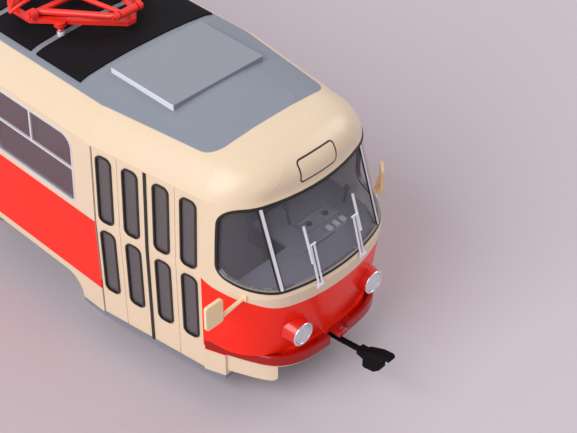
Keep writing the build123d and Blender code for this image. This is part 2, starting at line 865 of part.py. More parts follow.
# Pantograph head: two carrier plates, two contact strips and down-turned horns
strip_low_z = head_z + head_rise
with BuildPart() as head:
    for hand in (1, -1):
        with BuildSketch(Plane.XZ.offset(-hand * head_eye_y - head_eye_width / 2)):
            with Locations((0, (head_z + strip_low_z) / 2)):
                SlotOverall(2 * shaft_x + 2 * head_eye_radius, head_rise + head_eye_radius)
        extrude(amount=head_eye_width)
    for end in (1, -1):
        bow_x, bow_y, bow_z = horn_bow
        low = (end * strip_x - strip_width / 2, -strip_half, strip_low_z)
        add(block(low, (end * strip_x + strip_width / 2, strip_half, strip_low_z + strip_height)))
        for hand in (1, -1):
            with BuildLine() as curve:
                start = (end * strip_x, hand * (strip_half - horn_tube), strip_low_z + strip_height / 2)
                middle_y = hand * (strip_half + horn_reach * bow_y)
                middle = (end * strip_x * bow_x, middle_y, strip_low_z - horn_drop * bow_z)
                finish = (0, hand * (strip_half + horn_reach), strip_low_z - horn_drop)
                ThreePointArc(start, middle, finish)
            with BuildSketch(Plane(origin=start, z_dir=curve.line % 0)):
                Circle(horn_tube)
            sweep(path=curve.line)
    add(cross_bar(shaft_x, head_z, head_pin_radius + knee_pin_clearance, head_eye_y * 2), mode=Mode.SUBTRACT)
    add(cross_bar(-shaft_x, head_z, head_pin_radius + gap, head_eye_y * 2), mode=Mode.SUBTRACT)
keep("panto_head", Pos(pantograph_x, 0, 0) * head.part)

# Chassis: floor plate, underfloor equipment and the coupler pins
inner_fit = hull(-wall - fit)
end_waste = block((low_back_x - fit, -half_width, 0), (belt_nose, half_width, recess_high_z))
end_waste -= low_prism(recess_depth + wall + fit, 0, recess_high_z)
pivot_spots = [(bogie_x, 0), (-bogie_x, 0)]
screw_spots = [(screw_x, 0), (-screw_x, 0)]
with BuildPart() as chassis:
    add(inner_fit)
    plate = block((-belt_nose, -half_width, chassis_z), (belt_nose, half_width, chassis_top_z))
    add(plate, mode=Mode.INTERSECT)
    for end_room in (end_waste, end_waste.mirror(Plane.YZ)):
        add(end_room, mode=Mode.SUBTRACT)
    for near, far, width_share, depth_share in equipment_rows:
        low_z = chassis_z - depth_share * (chassis_z - equipment_low_z)
        reach = equipment_half_width * width_share
        add(block((near, -reach, low_z), (far, reach, chassis_z)))
    with BuildSketch(Plane.XY.offset(chassis_z)):
        with Locations(*pivot_spots):
            Circle(pivot_radius + pivot_clearance)
    extrude(amount=chassis_thickness, mode=Mode.SUBTRACT)
    with BuildSketch(Plane.XY.offset(equipment_low_z)):
        with Locations(*screw_spots):
            Circle(screw_hole_radius)
    extrude(amount=screw_hole_depth, mode=Mode.SUBTRACT)
    with BuildSketch(Plane.XY.offset(coupler_z - coupler_boss_height / 2 - gap)):
        with Locations((coupler_pivot_x, 0), (-coupler_pivot_x, 0)):
            Circle(coupler_pin_radius)
    extrude(until=Until.NEXT)
keep("chassis", chassis.part)

# Couplers: rod, hook head and pivot eye
with BuildPart() as coupler:
    with BuildSketch(Plane.XZ.offset(-coupler_width / 2)):
        with BuildLine():
            length = coupler_tip_x - coupler_neck_x
            corners = [
                (coupler_neck_x + x_share * length, coupler_neck_z + z_share * coupler_head_height)
                for x_share, z_share in hook_shares
            ]
            Polyline(*corners, close=True)
        make_face()
    extrude(amount=coupler_width)
    fillet(coupler.edges().filter_by(Axis.Y), hook_edge)
    add(bar((coupler_pivot_x, 0, coupler_z), (coupler_neck_x + coupler_rod, 0, coupler_neck_z), coupler_rod))
    with Locations((coupler_pivot_x, 0, coupler_z)):
        Cylinder(coupler_boss_radius, coupler_boss_height)
        Cylinder(coupler_pin_radius + coupler_pin_clearance, coupler_boss_height * 2, mode=Mode.SUBTRACT)
keep("coupler_front", coupler.part)
keep("coupler_rear", coupler.part.mirror(Plane.YZ))

# Interior: tray, console, partition and seats
with BuildPart() as tray:
    add(inner_fit)
    tray_high_z = tray_z + tray_thickness
    tray_block = block((-console_back_x, -half_width, tray_z), (belt_nose, half_width, tray_high_z))
    add(tray_block, mode=Mode.INTERSECT)
keep("interior_tray", tray.part)
with BuildPart() as console:
    add(hull(-wall - console_wall_gap))
    console_block = block((console_back_x, -half_width, tray_high_z), (belt_nose, half_width, console_top_z))
    add(console_block, mode=Mode.INTERSECT)
    with Locations((console_back_x, driver_y, tray_high_z)):
        Box(knee_room_depth, 2 * driver_seat_half, console_top_z, mode=Mode.SUBTRACT)
keep("cab_console", console.part)
with BuildPart() as partition:
    add(hull(-wall - console_wall_gap))
    low = (partition_x, partition_right_y, tray_high_z)
    add(block(low, (partition_x + partition_thickness, half_width, partition_high_z)), mode=Mode.INTERSECT)
keep("cab_partition", partition.part)


# Seat: cushion and leaning back on one foot
def seat(half):
    with BuildPart() as chair:
        with BuildSketch(Plane.XZ.offset(-half)):
            with BuildLine():
                Polyline(
                    (seat_depth, seat_height - seat_cushion),
                    (seat_depth, seat_height),
                    (seat_back_thickness, seat_height),
                    (0, seat_back_height),
                    (-seat_back_thickness, seat_back_height),
                    (0, seat_height - seat_cushion),
                    close=True,
                )
            make_face()
        extrude(amount=2 * half)
        fillet(chair.edges().filter_by(Axis.Z, reverse=True).group_by(Axis.Z)[-1], seat_edge)
        with Locations((seat_depth / 2, 0, (seat_height - seat_cushion) / 2)):
            Box(seat_depth / 2, half, seat_height - seat_cushion)
    return chair.part


door_room = door_width / 2 + seat_back_thickness + seat_depth / 2
with BuildPart() as seats:
    row_seat = seat(seat_width / 2)
    for index in range(seat_rows):
        x = seat_first_x - index * seat_pitch
        for hand in (1, -1):
            clear_of_door = abs(x + seat_depth / 2 - door_centres["door_middle"]) > door_room
            if hand > 0 or clear_of_door:
                with Locations((x, hand * seat_y, tray_high_z)):
                    add(row_seat)
keep("seats", seats.part)
keep("driver_seat", Pos(driver_x, driver_y, tray_high_z) * seat(driver_seat_half))

# Mirror: a lug on the corner, an arm and a flat head turned about its own upright
def side_mirror(head, turn):
    x, y, z = head
    hand = 1 if y > 0 else -1
    root = (mirror_root[0], hand * mirror_root[1], mirror_root[2])
    side = (-sin(radians(turn)), cos(radians(turn)), 0)
    face = (cos(radians(turn)), sin(radians(turn)), 0)
    foot = (x, y - hand * mirror_width / 4, z - mirror_height / 2 + mirror_arm_radius)
    with BuildPart() as form:
        with Locations(root):
            Box(mirror_lug, mirror_lug, mirror_lug)
        add(bar(root, foot, mirror_arm_radius))
        add(bar(foot, (x, y, z), mirror_arm_radius))
        with BuildSketch(Plane(origin=head, x_dir=side, z_dir=face)):
            RectangleRounded(mirror_width, mirror_height, mirror_corner)
        extrude(amount=mirror_thickness)
        add(outer, mode=Mode.SUBTRACT)
    return form.part


keep("mirror_right", side_mirror(right_mirror, right_mirror_turn))
keep("mirror_left", side_mirror(left_mirror, left_mirror_turn))


# Point on the windscreen, held off the glass
def on_screen(y, z, stand_off):
    nose = belt_nose - screen_slope * (z - belt_z) + stand_off
    return nose - nose_radius + sqrt(nose_radius**2 - y**2), y, z


# Wipers: a boss, two parallel rods and a blade each
with BuildPart() as wipers:
    for hand in (1, -1):
        y = hand * wiper_y
        for rod_y in (y + wiper_spread / 2, y - wiper_spread / 2):
            rod_low = on_screen(rod_y, wiper_root_z, wiper_rod)
            add(bar(rod_low, on_screen(rod_y, wiper_arm_z, wiper_stand_off), wiper_rod))
        blade_low = on_screen(y + hand * wiper_spread, wiper_low_z, wiper_stand_off)
        blade_high = on_screen(y + hand * wiper_spread, wiper_high_z, wiper_stand_off)
        add(bar(blade_low, blade_high, wiper_blade))
        add(cross_bar(on_screen(y, wiper_arm_z, wiper_stand_off)[0], wiper_arm_z, wiper_rod, wiper_spread, y))
        add(cross_bar(on_screen(y, wiper_root_z, 0)[0], wiper_root_z, wiper_boss_radius, wiper_spread, y))
    add(outer, mode=Mode.SUBTRACT)
    add(trim_face, mode=Mode.SUBTRACT)
keep("wipers", wipers.part)

# Bogies: inside frame with bolster, axle boxes, motors and track brakes
beam_half = wheelbase / 2 + axle_box_size / 2
with BuildPart() as bogie:
    for hand in (1, -1):
        with BuildSketch(Plane.XZ.offset(-hand * bogie_beam_y - bogie_beam_thickness / 2)):
            with Locations((0, wheel_radius + bogie_beam_drop)):
                Rectangle(2 * beam_half, bogie_beam_height)
            with Locations((wheelbase / 2, wheel_radius), (-wheelbase / 2, wheel_radius)):
                Circle(axle_box_size / 2)
        extrude(amount=bogie_beam_thickness)
    with Locations((0, 0, (bolster_low_z + bolster_high_z) / 2)):
        Box(bolster_length, 2 * bogie_beam_y, bolster_high_z - bolster_low_z)
    brake_low_z = track_brake_clearance
    for hand in (1, -1):
        brake_y = hand * (gauge_inner / 2 + tread_width / 2)
        with Locations((0, brake_y, brake_low_z + track_brake_height / 2)):
            Box(track_brake_length, track_brake_width, track_brake_height)
        link_high = wheel_radius + bogie_beam_drop
        with Locations((0, brake_y, (brake_low_z + link_high) / 2)):
            Box(brake_link_width, track_brake_width, link_high - brake_low_z)
        with Locations((0, (brake_y + hand * bogie_beam_y) / 2, link_high)):
            Box(brake_link_width, abs(brake_y) - bogie_beam_y + track_brake_width, brake_link_width)
    for end in (1, -1):
        motor_x = end * (bolster_length / 2 + motor_radius - motor_sink)
        add(cross_bar(motor_x, wheel_radius + bogie_beam_drop, motor_radius, motor_length / 2))
    with BuildSketch(Plane.XY.offset(bolster_high_z)):
        Circle(pivot_radius)
    extrude(amount=chassis_top_z + gap / 2 - bolster_high_z)
    with BuildSketch(Plane.XY.offset(chassis_top_z + gap / 2)):
        Circle(pivot_head_radius)
    extrude(amount=pivot_head_height)
    for end in (1, -1):
        bore = cross_bar(end * wheelbase / 2, wheel_radius, axle_radius + axle_bore_clearance, half_width)
        add(bore, mode=Mode.SUBTRACT)
keep("bogie_front", Pos(bogie_x, 0, 0) * bogie.part)
keep("bogie_rear", Pos(-bogie_x, 0, 0) * bogie.part)

# Wheelset: an axle with two flanged wheels, hollow on the outer face
tread_radius = wheel_radius - flange_height
inside_y = gauge_inner / 2
outside_y = inside_y + flange_width + tread_width
with BuildPart() as wheelset:
    with BuildSketch(Plane.XY):
        with BuildLine():
            Polyline(
                (0, inside_y),
                (wheel_radius - flange_width / 3, inside_y),
                (wheel_radius, inside_y + flange_width / 3),
                (wheel_radius, inside_y + flange_width / 2),
                (tread_radius, inside_y + flange_width),
                (tread_radius, outside_y),
                (tread_radius - rim_thickness, outside_y),
                (tread_radius - rim_thickness - web_depth / 2, outside_y - web_depth),
                (hub_radius + web_depth / 2, outside_y - web_depth),
                (hub_radius, outside_y + hub_length - web_depth),
                (0, outside_y + hub_length - web_depth),
                close=True,
            )
        make_face()
    revolve(axis=Axis.Y)
    mirror(about=Plane.XZ)
    with BuildSketch(Plane.XZ.offset(-inside_y)):
        Circle(axle_radius)
    extrude(amount=2 * inside_y)
axle_places = [end * bogie_x + step * wheelbase / 2 for end in (1, -1) for step in (1, -1)]
for index, x in enumerate(axle_places):
    keep(f"wheelset_{index + 1}", Pos(x, 0, wheel_radius) * wheelset.part)
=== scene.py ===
from math import cos, pi, radians, sin

import bpy
from mathutils import Matrix, Vector


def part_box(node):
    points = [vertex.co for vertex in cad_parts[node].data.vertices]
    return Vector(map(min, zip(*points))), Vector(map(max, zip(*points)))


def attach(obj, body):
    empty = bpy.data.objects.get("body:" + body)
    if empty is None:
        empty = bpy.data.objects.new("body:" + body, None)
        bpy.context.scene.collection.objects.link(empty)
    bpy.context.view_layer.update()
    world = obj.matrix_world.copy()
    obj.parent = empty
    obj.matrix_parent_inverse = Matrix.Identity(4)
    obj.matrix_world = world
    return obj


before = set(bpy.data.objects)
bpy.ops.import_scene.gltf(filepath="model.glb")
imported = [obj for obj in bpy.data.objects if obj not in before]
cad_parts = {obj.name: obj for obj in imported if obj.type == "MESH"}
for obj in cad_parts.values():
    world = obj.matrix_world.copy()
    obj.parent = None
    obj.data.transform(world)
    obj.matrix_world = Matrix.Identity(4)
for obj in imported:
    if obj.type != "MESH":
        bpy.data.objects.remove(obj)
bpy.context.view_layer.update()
mm = 0.001  # one model millimetre in metres
print("frame loaded:", len(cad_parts), "nodes")


# Socket that takes part in plain arithmetic; each sign adds a Math node
class Signal:
    def __init__(self, finish, socket):
        self.finish = finish
        self.socket = socket

    def combine(self, operation, *values):
        return self.finish.node("ShaderNodeMath", {"operation": operation}, dict(enumerate(values)))

    def __add__(self, other):
        return self.combine("ADD", self, other)

    def __radd__(self, other):
        return self.combine("ADD", other, self)

    def __sub__(self, other):
        return self.combine("SUBTRACT", self, other)

    def __rsub__(self, other):
        return self.combine("SUBTRACT", other, self)

    def __mul__(self, other):
        return self.combine("MULTIPLY", self, other)

    def __rmul__(self, other):
        return self.combine("MULTIPLY", other, self)

    def __truediv__(self, other):
        return self.combine("DIVIDE", self, other)

    def __neg__(self):
        return self.combine("MULTIPLY", self, -1)

    def size(self):
        return self.combine("ABSOLUTE", self)

    def atLeast(self, other):
        return self.combine("MAXIMUM", self, other)

    def atMost(self, other):
        return self.combine("MINIMUM", self, other)

    def squared(self):
        return self.combine("MULTIPLY", self, self)

    def root(self):
        return self.combine("SQRT", self)

    def wave(self):
        return self.combine("SINE", self)


# How painted and moulded surfaces vary: soft clouds in tone and gloss, and a fine orange peel.
# Scales are per metre, the depth is in millimetres.
wear = {
    "cloudScale": 60, "cloudDetail": 4, "mottle": 0.05, "glossRange": 0.08,
    "peelScale": 2500, "peelStrength": 0.06, "peelDepth": 0.01,
}


# One procedural material, with the object's own coordinates in millimetres
class Finish:
    def __init__(self, name, **look):
        self.material = bpy.data.materials.new(name)
        self.material.use_nodes = True
        self.tree = self.material.node_tree
        self.shader = self.tree.nodes["Principled BSDF"]
        for socket, value in look.items():
            self.set(socket, value)

    def node(self, kind, settings=None, inputs=None, output=0):
        made = self.tree.nodes.new(kind)
        for name, value in (settings or {}).items():
            setattr(made, name, value)
        for name, value in (inputs or {}).items():
            self.feed(made.inputs[name], value)
        return Signal(self, made.outputs[output])

    def feed(self, socket, value):
        if isinstance(value, Signal):
            self.tree.links.new(value.socket, socket)
        elif socket.type == "RGBA":
            socket.default_value = (*value, 1)
        else:
            socket.default_value = value

    def set(self, name, value):
        self.feed(self.shader.inputs[name.replace("_", " ")], value)

    def axes(self, output):
        spot = self.node("ShaderNodeTexCoord", output=output)
        parts = self.node("ShaderNodeSeparateXYZ", None, {0: spot})
        return [Signal(self, parts.socket.node.outputs[axis]) for axis in range(3)]

    def place(self):
        return [axis * (1 / mm) for axis in self.axes("Object")]

    def facing(self):
        return self.axes("Normal")

    # 0 below the edge and 1 above it, with a soft step between
    def above(self, value, edge, soft=0.04):
        inputs = {"Value": value, "From Min": edge - soft, "From Max": edge + soft}
        return self.node("ShaderNodeMapRange", {"interpolation_type": "SMOOTHSTEP"}, inputs)

    # a Mix node's colours are its inputs 6 and 7 and its output 2
    def colours(self, mask, first, second, blend="MIX"):
        settings = {"data_type": "RGBA", "blend_type": blend}
        return self.node("ShaderNodeMix", settings, {0: mask, 6: first, 7: second}, 2)

    def noise(self, scale, detail=2):
        spot = self.node("ShaderNodeTexCoord", output="Object")
        return self.node("ShaderNodeTexNoise", None, {0: spot, "Scale": scale, "Detail": detail})

    def relief(self, height, strength, distance):
        inputs = {"Height": height, "Strength": strength, "Distance": distance * mm}
        self.set("Normal", self.node("ShaderNodeBump", None, inputs))

    # slight mottling, uneven gloss and orange peel, as on sprayed or moulded small parts
    def worn(self, tone, rough, mottle=wear["mottle"]):
        cloud = self.noise(wear["cloudScale"], wear["cloudDetail"])
        self.set("Base Color", self.colours(cloud * mottle, tone, (0, 0, 0), "MULTIPLY"))
        self.set("Roughness", cloud * wear["glossRange"] + (rough - wear["glossRange"] / 2))
        self.relief(self.noise(wear["peelScale"]), wear["peelStrength"], wear["peelDepth"])
        return self


def dress(finish, *names):
    for name in names:
        for slot in bpy.data.objects[name].material_slots:
            slot.material = finish.material


# One colour with the wear of a small sprayed, moulded or metal part
def plain(name, tone, rough, **look):
    return Finish(name, **look).worn(tone, rough)


# Colours that more than one finish uses
colour = {
    "cream": (0.82, 0.645, 0.46),
    "line": (0.03, 0.02, 0.018),
    "rubber": (0.016, 0.011, 0.010),
    "bumper": (0.40, 0.008, 0.007),
    "silver": (0.80, 0.79, 0.85),
}

# Paint of the body shell, its zones in millimetres
body = {
    "red": (1.0, 0.022, 0.006), "roofGrey": (0.26, 0.28, 0.335), "inside": (0.78, 0.72, 0.72),
    "rough": 0.26, "mottle": 0.03, "coatLow": 0.05, "coatCream": 0.45, "coatRough": 0.36, "specular": 0.18,
    "redLow": 17.0, "endRedLow": 15.8, "endStart": 141.8, "redHigh": 38.7,
    "frontStart": 141.3, "peakLength": 4.5, "peakDrop": 1.4,
    "sweepStart": 153.0, "sweepEnd": 161.0, "sweepDrop": 2.6,
    "greyHalf": 22.3, "greyNose": 140.0, "greyCorner": 4.0, "greyLow": 60.0, "greySoft": 0.15,
    "taperStart": 108.0, "taper": 0.14,
    "signHalf": 5.6, "signRise": 2.6, "signCorner": 0.9, "signLine": 0.21,
    "signX": 153.3, "signZ": 64.7, "signTilt": 22.6, "signStart": 130.0,
    "straightHalf": 109.6, "insideMiddle": 40.0, "insideLow": 20.0,
}


def bodyPaint():
    f = Finish("bodyPaint", Coat_Roughness=body["coatRough"], Specular_IOR_Level=body["specular"])
    x, y, z = f.place()
    far = x.size()
    # red band with its sweep down to the lamps
    peak = (1 - (far - body["frontStart"]) / body["peakLength"]).atLeast(0).atMost(1)
    sweepMiddle = (body["sweepStart"] + body["sweepEnd"]) / 2
    sweepHalf = (body["sweepEnd"] - body["sweepStart"]) / 2
    fall = f.above(far, sweepMiddle, sweepHalf)
    top = body["redHigh"] - body["peakDrop"] * (1 - peak.squared()) - body["sweepDrop"] * fall
    low = body["redLow"] + (body["endRedLow"] - body["redLow"]) * f.above(far, body["endStart"])
    red = f.above(top - z, 0) * f.above(z - low, 0)
    # grey roof, a rounded outline that follows the tapered ends
    pastNose = (far - (body["greyNose"] - body["greyCorner"])).atLeast(0)
    narrow = (far - body["taperStart"]).atLeast(0) * body["taper"]
    pastSide = (y.size() + narrow - (body["greyHalf"] - body["greyCorner"])).atLeast(0)
    edge = body["greyCorner"] - (pastNose.squared() + pastSide.squared()).root()
    grey = f.above(edge, 0, body["greySoft"]) * f.above(z, body["greyLow"])
    # dark outline of the blank destination sign, laid along the sloping front of the roof
    tilt = radians(body["signTilt"])
    along = (z - body["signZ"]) * cos(tilt) - (x - body["signX"]) * sin(tilt)
    across = (y.size() - (body["signHalf"] - body["signCorner"])).atLeast(0)
    upward = (along.size() - (body["signRise"] - body["signCorner"])).atLeast(0)
    ring = ((across.squared() + upward.squared()).root() - body["signCorner"]).size()
    sign = f.above(body["signLine"] - ring, 0) * f.above(x, body["signStart"])
    # plain colour on the inner faces of the shell, which look towards its middle
    turnX, turnY, turnZ = f.facing()
    past = x - x.atLeast(-body["straightHalf"]).atMost(body["straightHalf"])
    outward = turnX * past + turnY * y + turnZ * (z - body["insideMiddle"])
    inner = f.above(-outward, 0) * f.above(z, body["insideLow"])
    tone = f.colours(red, colour["cream"], body["red"])
    tone = f.colours(grey, tone, body["roofGrey"])
    tone = f.colours(sign, tone, colour["line"])
    tone = f.colours(inner, tone, body["inside"])
    f.set("Coat Weight", body["coatLow"] + (1 - red) * (1 - grey) * body["coatCream"])
    return f.worn(tone, body["rough"], body["mottle"])


# Bright pillar between two dark edges, in millimetres from the middle of the car
pillar = {"middle": 16.1, "brightHalf": 0.36, "soft": 0.05, "rough": 0.3, "metal": 0.3}


def pillarPaint():
    f = Finish("pillarBright", Metallic=pillar["metal"])
    y = f.place()[1]
    edge = f.above((y.size() - pillar["middle"]).size(), pillar["brightHalf"], pillar["soft"])
    return f.worn(f.colours(edge, colour["silver"], colour["line"]), pillar["rough"])


# Black seal whose lower lip is paler where it faces up
seal = {
    "lip": (0.36, 0.32, 0.31), "lipHigh": 45.0, "lipFacing": 0.6, "soft": 0.1,
    "rough": 0.42, "specular": 0.4,
}


def sealPaint():
    f = Finish("sealRubber", Specular_IOR_Level=seal["specular"])
    z, turnZ = f.place()[2], f.facing()[2]
    lip = f.above(turnZ, seal["lipFacing"], seal["soft"]) * f.above(seal["lipHigh"] - z, 0)
    return f.worn(f.colours(lip, colour["rubber"], seal["lip"]), seal["rough"])


# Door leaves with a fine dark line where they meet the body
door = {
    "nodes": ("door_front", "door_middle", "door_rear"), "edge": (0.16, 0.11, 0.075), "line": 0.14,
    "rough": 0.28, "mottle": 0.03, "coat": 0.1, "specular": 0.3,
}


def doorPaint():
    f = Finish("doorPaint", Coat_Weight=door["coat"], Specular_IOR_Level=door["specular"])
    x = f.place()[0]
    gaps = []
    for name in door["nodes"]:
        low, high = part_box(name)
        middle, half = (low[0] + high[0]) / 2 / mm, (high[0] - low[0]) / 2 / mm
        gaps.append(((x - middle).size() - half).size())
    nearest = gaps[0].atMost(gaps[1]).atMost(gaps[2])
    line = f.above(door["line"] - nearest, 0)
    return f.worn(f.colours(line, colour["cream"], door["edge"]), door["rough"], door["mottle"])


# Roof hatch whose sides facing the door side are painted pale, a painted highlight
hatch = {
    "top": (0.27, 0.285, 0.335), "edge": (0.78, 0.79, 0.87), "highlightFacing": 0.6, "soft": 0.15,
    "rough": 0.38, "mottle": 0.04,
}


def hatchPaint():
    f = Finish("hatchGrey")
    turnY = f.facing()[1]
    # painted highlight: the sides that face the door side take the pale colour
    edge = f.above(-turnY, hatch["highlightFacing"], hatch["soft"])
    return f.worn(f.colours(edge, hatch["top"], hatch["edge"]), hatch["rough"], hatch["mottle"])


# Headlamp lens with upright ribs and a faint pattern across them, pitches in millimetres
lens = {
    "dark": (0.58, 0.61, 0.68), "pale": (0.92, 0.94, 0.99), "toneScale": 500, "metal": 0.35,
    "roughLow": 0.12, "roughRange": 0.1, "roughScale": 200, "coatRough": 0.03,
    "ribPitch": 0.6, "crossPitch": 1.7, "crossShare": 0.5, "ribStrength": 0.5, "ribDepth": 0.1,
}


def lensFinish():
    f = Finish("lampClear", Metallic=lens["metal"], Coat_Weight=1.0, Coat_Roughness=lens["coatRough"])
    y, z = f.place()[1:]
    f.set("Base Color", f.colours(f.noise(lens["toneScale"]), lens["dark"], lens["pale"]))
    f.set("Roughness", f.noise(lens["roughScale"]) * lens["roughRange"] + lens["roughLow"])
    ribs = (y * (2 * pi / lens["ribPitch"])).wave()
    crossing = (z * (2 * pi / lens["crossPitch"])).wave()
    f.relief(ribs + crossing * lens["crossShare"], lens["ribStrength"], lens["ribDepth"])
    return f


# Ceramic foot under a painted post
insulator = {
    "ceramic": (0.80, 0.76, 0.78), "post": (0.60, 0.035, 0.03), "postLow": 71.1, "soft": 0.05,
    "rough": 0.22, "coat": 0.8,
}


def insulatorFinish():
    f = Finish("insulatorGlaze", Coat_Weight=insulator["coat"])
    z = f.place()[2]
    upper = f.above(z, insulator["postLow"], insulator["soft"])
    return f.worn(f.colours(upper, insulator["ceramic"], insulator["post"]), insulator["rough"])


dress(bodyPaint(), "body_shell")
dress(doorPaint(), *door["nodes"])
dress(sealPaint(), "seal_front", "seal_rear")
dress(pillarPaint(), "pillars_front", "pillars_rear")
dress(hatchPaint(), "roof_hatch")
dress(lensFinish(), "headlamps")
dress(insulatorFinish(), "insulators")

# Plain paints, plastics and metals: colour, roughness, other shader values, CAD nodes
plainLooks = {
    "blackRubber": (colour["rubber"], 0.42, {}, ("door_seams", "door_frames")),
    "brightTrim": (colour["silver"], 0.3, {"Metallic": 0.3}, ("frames_right", "frames_left", "wipers")),
    "sillGrey": ((0.22, 0.23, 0.29), 0.4, {}, ("sill_rails",)),
    "bumperRed": (
        colour["bumper"], 0.24, {"Coat_Weight": 0.15, "Specular_IOR_Level": 0.2},
        ("bumper_front", "bumper_rear"),
    ),
    "lampRed": ((0.72, 0.012, 0.007), 0.24, {"Coat_Weight": 0.3}, ("lamp_housings",)),
    "tailRed": ((0.45, 0.008, 0.008), 0.15, {"Coat_Weight": 1.0}, ("tail_lamps",)),
    "matBlack": ((0.006, 0.005, 0.007), 0.75, {"Specular_IOR_Level": 0.15}, ("roof_mats",)),
    "pantographRed": (
        (0.90, 0.030, 0.018), 0.35, {},
        ("panto_base", "panto_head", "panto_lower_front", "panto_upper_front", "panto_lower_rear",
         "panto_upper_rear"),
    ),
    "blackPlastic": (
        (0.003, 0.002, 0.003), 0.55, {"Specular_IOR_Level": 0.1},
        ("chassis", "coupler_front", "coupler_rear", "bogie_front", "bogie_rear"),
    ),
    "interiorGrey": ((0.30, 0.29, 0.32), 0.55, {}, ("interior_tray",)),
    "consoleGrey": ((0.27, 0.275, 0.345), 0.36, {}, ("cab_console",)),
    "interiorCream": ((0.62, 0.48, 0.32), 0.5, {}, ("cab_partition",)),
    "seatRed": ((0.40, 0.016, 0.014), 0.4, {}, ("seats",)),
    "seatDark": ((0.02, 0.02, 0.025), 0.5, {}, ("driver_seat",)),
    "mirrorCream": ((0.98, 0.74, 0.43), 0.35, {}, ("mirror_right", "mirror_left")),
    "wheelMetal": (
        (0.25, 0.24, 0.24), 0.35, {"Metallic": 0.9},
        ("wheelset_1", "wheelset_2", "wheelset_3", "wheelset_4"),
    ),
}
plainFinishes = {}
for name, (tone, rough, look, nodes) in plainLooks.items():
    plainFinishes[name] = plain(name, tone, rough, **look)
    dress(plainFinishes[name], *nodes)

# Clear moulded glazing with faint flow marks in its gloss: colour, alpha, CAD nodes
glazing = {
    "screenGlass": ((0.25, 0.245, 0.29), 0.15, ("glass_windscreen", "glass_rear")),
    "sideGlass": ((0.20, 0.133, 0.155), 0.46, ("glass_right", "glass_left")),
    "doorGlass": ((0.14, 0.12, 0.125), 0.72, ("glass_doors",)),
}
glassGloss = {"coat": 0.4, "flowScale": 30, "roughLow": 0.02, "roughRange": 0.04}
for name, (tone, alpha, nodes) in glazing.items():
    glass = Finish(name, Base_Color=tone, Alpha=alpha, Coat_Weight=glassGloss["coat"])
    flow = glass.noise(glassGloss["flowScale"])
    glass.set("Roughness", flow * glassGloss["roughRange"] + glassGloss["roughLow"])
    dress(glass, *nodes)

print("materials done")


def finishPiece(piece, name, finish, angle=40):
    piece.name = name
    bpy.ops.object.transform_apply(location=True, rotation=True, scale=True)
    bpy.ops.object.shade_smooth_by_angle(angle=radians(angle))
    piece.data.materials.append(finish.material)
    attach(piece, "car")


def bevelEdges(piece, width, segments):
    bevel = piece.modifiers.new("bevel", "BEVEL")
    bevel.width = width * mm
    bevel.segments = segments
    bpy.ops.object.modifier_apply(modifier="bevel")


# Box with rounded edges between two corners, its top sunk inside a rim where one is given
def roundedBox(name, low, high, edge, finish, rim=0, sink=0):
    bpy.ops.object.select_all(action="DESELECT")
    middle = [(a + b) / 2 * mm for a, b in zip(low, high)]
    bpy.ops.mesh.primitive_cube_add(size=1, location=middle)
    piece = bpy.context.object
    piece.scale = [(b - a) * mm for a, b in zip(low, high)]
    bpy.ops.object.transform_apply(location=False, rotation=False, scale=True)
    if rim:
        bpy.ops.object.mode_set(mode="EDIT")
        bpy.ops.mesh.select_all(action="DESELECT")
        bpy.ops.object.mode_set(mode="OBJECT")
        for face in piece.data.polygons:
            face.select = face.normal.z > 0.9  # the top
        bpy.ops.object.mode_set(mode="EDIT")
        bpy.ops.mesh.select_mode(type="FACE")
        bpy.ops.mesh.inset(thickness=rim * mm)
        bpy.ops.mesh.extrude_region_move(TRANSFORM_OT_translate={"value": (0, 0, -sink * mm)})
        bpy.ops.object.mode_set(mode="OBJECT")
    bevelEdges(piece, edge, 3)
    finishPiece(piece, name, finish)


# Round stalk between two points, with a ball on its end
def stalk(name, foot, top, radius, knob, finish):
    bpy.ops.object.select_all(action="DESELECT")
    start, end = Vector(foot) * mm, Vector(top) * mm
    turn = (end - start).to_track_quat("Z", "Y").to_euler()
    bpy.ops.mesh.primitive_cylinder_add(
        vertices=20, radius=radius * mm, depth=(end - start).length, location=(start + end) / 2, rotation=turn,
    )
    piece = bpy.context.object
    bpy.ops.mesh.primitive_uv_sphere_add(segments=24, ring_count=14, radius=knob * mm, location=end)
    piece.select_set(True)
    bpy.ops.object.join()
    finishPiece(bpy.context.object, name, finish)


# Chrome rings of the headlamps, in millimetres
lampRing = {
    "faceX": 161.75, "y": 12.2, "z": 26.0, "radius": 2.78, "tube": 0.3,
    "chrome": (0.78, 0.78, 0.82), "rough": 0.18, "metal": 0.9,
}


def addLampRings():
    trim = plain("ringChrome", lampRing["chrome"], lampRing["rough"], Metallic=lampRing["metal"])
    for hand, side in ((1, "left"), (-1, "right")):
        bpy.ops.object.select_all(action="DESELECT")
        spot = (lampRing["faceX"] * mm, hand * lampRing["y"] * mm, lampRing["z"] * mm)
        bpy.ops.mesh.primitive_torus_add(
            major_segments=64, minor_segments=16, major_radius=lampRing["radius"] * mm,
            minor_radius=lampRing["tube"] * mm, location=spot, rotation=(0, pi / 2, 0),
        )
        finishPiece(bpy.context.object, f"lampRing_{side}", trim, angle=60)


